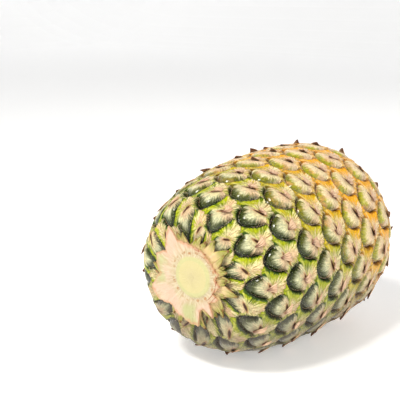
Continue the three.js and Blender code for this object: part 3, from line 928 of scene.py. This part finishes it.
# The leaf bases under the star: broad, fleshy leaves of the crown, torn off short. Two rows of them lie
# over the fruit's shoulder, cream at the root and yellow-green with brown, torn edges further out.
LEAF_CELLS_ACROSS = 10
LEAF_CELLS_ALONG = 14
BASE_ROWS = [
    {"leaves": 23, "root": 15, "tip": 28, "width": 8, "out": -0.2, "lift": 0.8, "salt": 21},
    {"leaves": 31, "root": 15, "tip": 25, "width": 6, "out": 0.4, "lift": 0.7, "salt": 31},
]
BASE_THICK = 0.9
BASE_DROOP = 1.6
BASE_ARCH = 0.9
BASE_WAVE = 0.35
BASE_COLOURS = {"root": (0.74, 0.5, 0.33), "middle": (0.7, 0.55, 0.24),
                "end": (0.3, 0.34, 0.015), "edge": (0.3, 0.1, 0.04)}


def leaf_points(flat, turned, bend, root, tip, width, blunt):
    """One leaf that lies outwards from the axis and bends aside: its points' places aside and above the
    axis, and their shares of the way across and up the leaf."""
    across = flat[:, 0] * 2
    up = flat[:, 1] + 0.5
    torn = 0.05 * np.sin(9 * across + 11 * turned) * up
    from_axis = mix_numbers(root, tip, up + torn)
    half = width / 2 * (1 - mix_numbers(1, 0.75, blunt) * up**2.2) * (0.8 + 0.5 * up * (1 - up))
    towards = turned + bend * up**2
    aside = from_axis * np.sin(towards) + across * half * np.cos(towards)
    above = from_axis * np.cos(towards) - across * half * np.sin(towards)
    return aside, above, across, up


def give_leaf_look(mesh, number, salt):
    """Stores one random number on a whole leaf."""
    give_colours(mesh, "leaf_look", np.tile((chance(number, salt), 0, 0, 1), (len(mesh.vertices), 1)))


bpy.ops.mesh.primitive_grid_add(x_subdivisions=LEAF_CELLS_ACROSS, y_subdivisions=LEAF_CELLS_ALONG, size=1)
leaf_pattern = bpy.context.object
leaf_pattern.data.uv_layers[0].name = "leaf"
flat = mesh_points(leaf_pattern.data)
leaves = []
for base_row in BASE_ROWS:
    salt = base_row["salt"]
    for number in range(base_row["leaves"]):
        turned = math.radians(360 / base_row["leaves"] * (number + 0.5 * (chance(number, salt) - 0.5)))
        tip = base_row["tip"] * mix_numbers(0.76, 1.12, chance(number, salt + 2))
        bend = mix_numbers(-0.2, 0.2, chance(number, salt + 6))
        width = base_row["width"] * mix_numbers(0.7, 1.3, chance(number, salt + 7))
        aside, above, across, up = leaf_points(flat, turned, bend, base_row["root"], tip, width, 0.1)
        lift = base_row["lift"] * mix_numbers(-1, 1.5, chance(number, salt + 3))
        out = base_row["out"] - BASE_DROOP * up**2 + lift * up**3
        out += BASE_ARCH * (1 - across**2) * (1 - 0.5 * up)
        out += BASE_WAVE * np.sin(4 * across + number) * up
        leaf = copy_of(leaf_pattern, on_crown_end(aside, above, out), "leaf_bases")
        give_leaf_look(leaf.data, number, salt + 4)
        leaves.append(leaf)
leaf_bases = join_copies(leaves, "leaf_bases")
thicken(leaf_bases, BASE_THICK)


def make_leaf_material(name, root, middle, end, edge):
    """A leaf with fibres along it, from its root's colours to its end's, and a dry torn edge."""
    material, tree, shader = new_material(name, 0.5, Specular_IOR_Level=0.35)
    seed = times(tree, read_colours(tree, "leaf_look")[0], 50.0)
    uv = put(tree, "ShaderNodeUVMap", uv_map="leaf")
    split = put(tree, "ShaderNodeSeparateXYZ", {0: uv}).node
    across = maths(tree, "ABSOLUTE", maths(tree, "MULTIPLY_ADD", split.outputs[0], 2.0, -1.0))
    streaks = fibres(tree, uv, 16.0, 1.5, seed)
    patch = swing(tree, noise(tree, put(tree, "ShaderNodeTexCoord", output=3), 180.0, 4.0), 0.5)
    up = plus(tree, split.outputs[1], patch)
    colour = ramp(tree, up, [(0.05, *root), (0.45, *middle), (0.85, *end)])
    colour = blend(tree, times(tree, streaks, 0.5), colour, root)
    at_side = between(tree, plus(tree, across, patch), 0.82, 1.0)
    rim = maths(tree, "MAXIMUM", at_side, between(tree, up, 0.88, 1.0))
    colour = blend(tree, times(tree, rim, 0.75), colour, edge)
    paint_and_bump(tree, shader, colour, streaks, 0.7, 0.5)
    return material


leaf_bases.data.materials.append(make_leaf_material("leaf_base", **BASE_COLOURS))
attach(leaf_bases, "root")
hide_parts("collar_leaves")

# The stalk's leaves: small, papery and dry, in two rows at the other end, where they cup round the stalk.
# They grow out of the stalk close under the fruit.
STALK_RIM_Y = CROWN_RIM_Y + LENGTH
SKIRT_ROWS = [
    {"leaves": 12, "root": 14.2, "tip": 31, "width": 11, "out": -0.6, "lift": 2.6, "salt": 51},
    {"leaves": 9, "root": 14, "tip": 25, "width": 10, "out": 0.2, "lift": 3.6, "salt": 61},
]
SKIRT_THICK = 0.6
SKIRT_DROOP = 1.6
SKIRT_CUP = 0.8
SKIRT_WAVE = 0.4
SKIRT_COLOURS = {"root": (0.5, 0.33, 0.16), "middle": (0.32, 0.17, 0.075),
                 "end": (0.2, 0.085, 0.035), "edge": (0.1, 0.035, 0.016)}


def on_stalk_end(aside, above, out):
    """Places on the stalk end, in metres: aside and above from the axis, and out of the fruit."""
    return np.column_stack([aside, STALK_RIM_Y + out + 0 * aside, above + AXIS_HEIGHT]) * MM


leaves = []
for skirt_row in SKIRT_ROWS:
    salt = skirt_row["salt"]
    for number in range(skirt_row["leaves"]):
        turned = math.radians(360 / skirt_row["leaves"] * (number + 0.6 * (chance(number, salt) - 0.5)))
        tip = skirt_row["tip"] * mix_numbers(0.82, 1.0, chance(number, salt + 2))
        bend = mix_numbers(-0.1, 0.1, chance(number, salt + 6))
        root, width = skirt_row["root"], skirt_row["width"]
        aside, above, across, up = leaf_points(flat, turned, bend, root, tip, width, 0.0)
        lift = skirt_row["lift"] * mix_numbers(0.2, 1, chance(number, salt + 3))
        out = skirt_row["out"] + lift * up - SKIRT_DROOP * up**2 - SKIRT_CUP * across**2
        out += SKIRT_WAVE * np.sin(5 * up + number) * across
        leaf = copy_of(leaf_pattern, on_stalk_end(aside, above, out), "stalk_leaves_dry")
        give_leaf_look(leaf.data, number, salt + 4)
        leaves.append(leaf)
bpy.data.objects.remove(leaf_pattern)
dry_leaves = join_copies(leaves, "stalk_leaves_dry")
thicken(dry_leaves, SKIRT_THICK)
dry_leaves.data.materials.append(make_leaf_material("dry_leaf", **SKIRT_COLOURS))
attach(dry_leaves, "root")
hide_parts("stalk_leaves")

# The stalk's stump: a fibrous, woody stem, ribbed along its run, and sawn off a little outside the fruit.
# It grows out of the middle of the fruit's sunk end.
STALK_RADIUS = 12.5
STALK_INSET = 1.2
STALK_BULGE = 1.1
STALK_TAPER = 0.9
STALK_STANDS_OUT = 5.95
STALK_STEPS = 96
STALK_ROWS = 26
STALK_BODY_ENDS = 0.55
SAW_WAVE = 0.25
SAW_HOLLOW = 0.5
# How many ribs go round the stalk, their height and their shift in radians.
STALK_RIBS = [(7, 0.35, 0), (19, 0.2, 2), (41, 0.12, 0)]
# The sawn face's colours from its middle outwards, by centimetres. Its brown rim starts at 1 cm.
SAWN_FACE = [(0.0, 0.62, 0.5, 0.28), (0.75, 0.52, 0.38, 0.18),
             (1.0, 0.36, 0.22, 0.09), (1.0, 0.16, 0.08, 0.03)]
bpy.ops.mesh.primitive_grid_add(x_subdivisions=STALK_STEPS, y_subdivisions=STALK_ROWS, size=1)
stump = bpy.context.object
stump.name = "stalk_stump"
stump.data.name = "stalk_stump"
flat = mesh_points(stump.data)
around = (flat[:, 0] + 0.5) * 2 * math.pi
row = flat[:, 1] + 0.5
on_body = np.clip(row / STALK_BODY_ENDS, 0, 1)
on_cut = np.clip((row - STALK_BODY_ENDS) / (1 - STALK_BODY_ENDS), 0, 1)
bulge = STALK_BULGE * np.sin(math.pi * np.clip(on_body * 0.95 + 0.1, 0, 1))
body_radius = STALK_RADIUS - STALK_INSET + bulge - STALK_TAPER * on_body**3
ribs = sum(height * np.cos(count * around + shift) for count, height, shift in STALK_RIBS)
from_axis = (body_radius + ribs * (1 - on_cut)) * (1 - on_cut)
rough_cut = SAW_WAVE * np.sin(5 * around) * on_cut * (1 - on_cut) * 4 - SAW_HOLLOW * smooth(on_cut, 0.25, 1)
out = mix_numbers(PLUG_BOTTOM, STALK_STANDS_OUT, on_body) + rough_cut
points = on_stalk_end(from_axis * np.sin(around), from_axis * np.cos(around), out)
stump.data.vertices.foreach_set("co", points.ravel())
give_colours(stump.data, "stem_place", np.column_stack([from_axis / 10, on_cut, 0 * on_cut, 0 * on_cut + 1]))
merge_and_close(stump)
bpy.ops.object.shade_smooth_by_angle(angle=math.radians(SHARP_EDGE))


def make_stump_material():
    """Dry stem: tan fibres along its side, and a sawn face with darker fibre ends and a brown rim."""
    material, tree, shader = new_material("stalk_stump", 0.8, Specular_IOR_Level=0.2)
    from_axis, on_cut = read_colours(tree, "stem_place")[:2]
    place = put(tree, "ShaderNodeTexCoord", output=3)
    side_fibres = fibres(tree, place, 900.0, 60.0, 7.0)
    ends = put(tree, "ShaderNodeTexVoronoi", {"Vector": place, "Scale": 1100.0})
    blots = noise(tree, place, 260.0, 4.0)
    side = blend(tree, side_fibres, (0.42, 0.29, 0.14), (0.22, 0.12, 0.05))
    face = ramp(tree, from_axis, SAWN_FACE)
    face = blend(tree, between(tree, ends, 0.3, 0.1, 0.0, 0.5), face, (0.3, 0.17, 0.06))
    face = blend(tree, between(tree, blots, 0.52, 0.7, 0.0, 0.6), face, (0.25, 0.13, 0.05))
    colour = blend(tree, between(tree, on_cut, 0.0, 0.04), side, face)
    paint_and_bump(tree, shader, colour, plus(tree, side_fibres, ends), 0.7, 0.5)
    return material


stump.data.materials.append(make_stump_material())
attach(stump, "root")
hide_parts("stalk_stub")
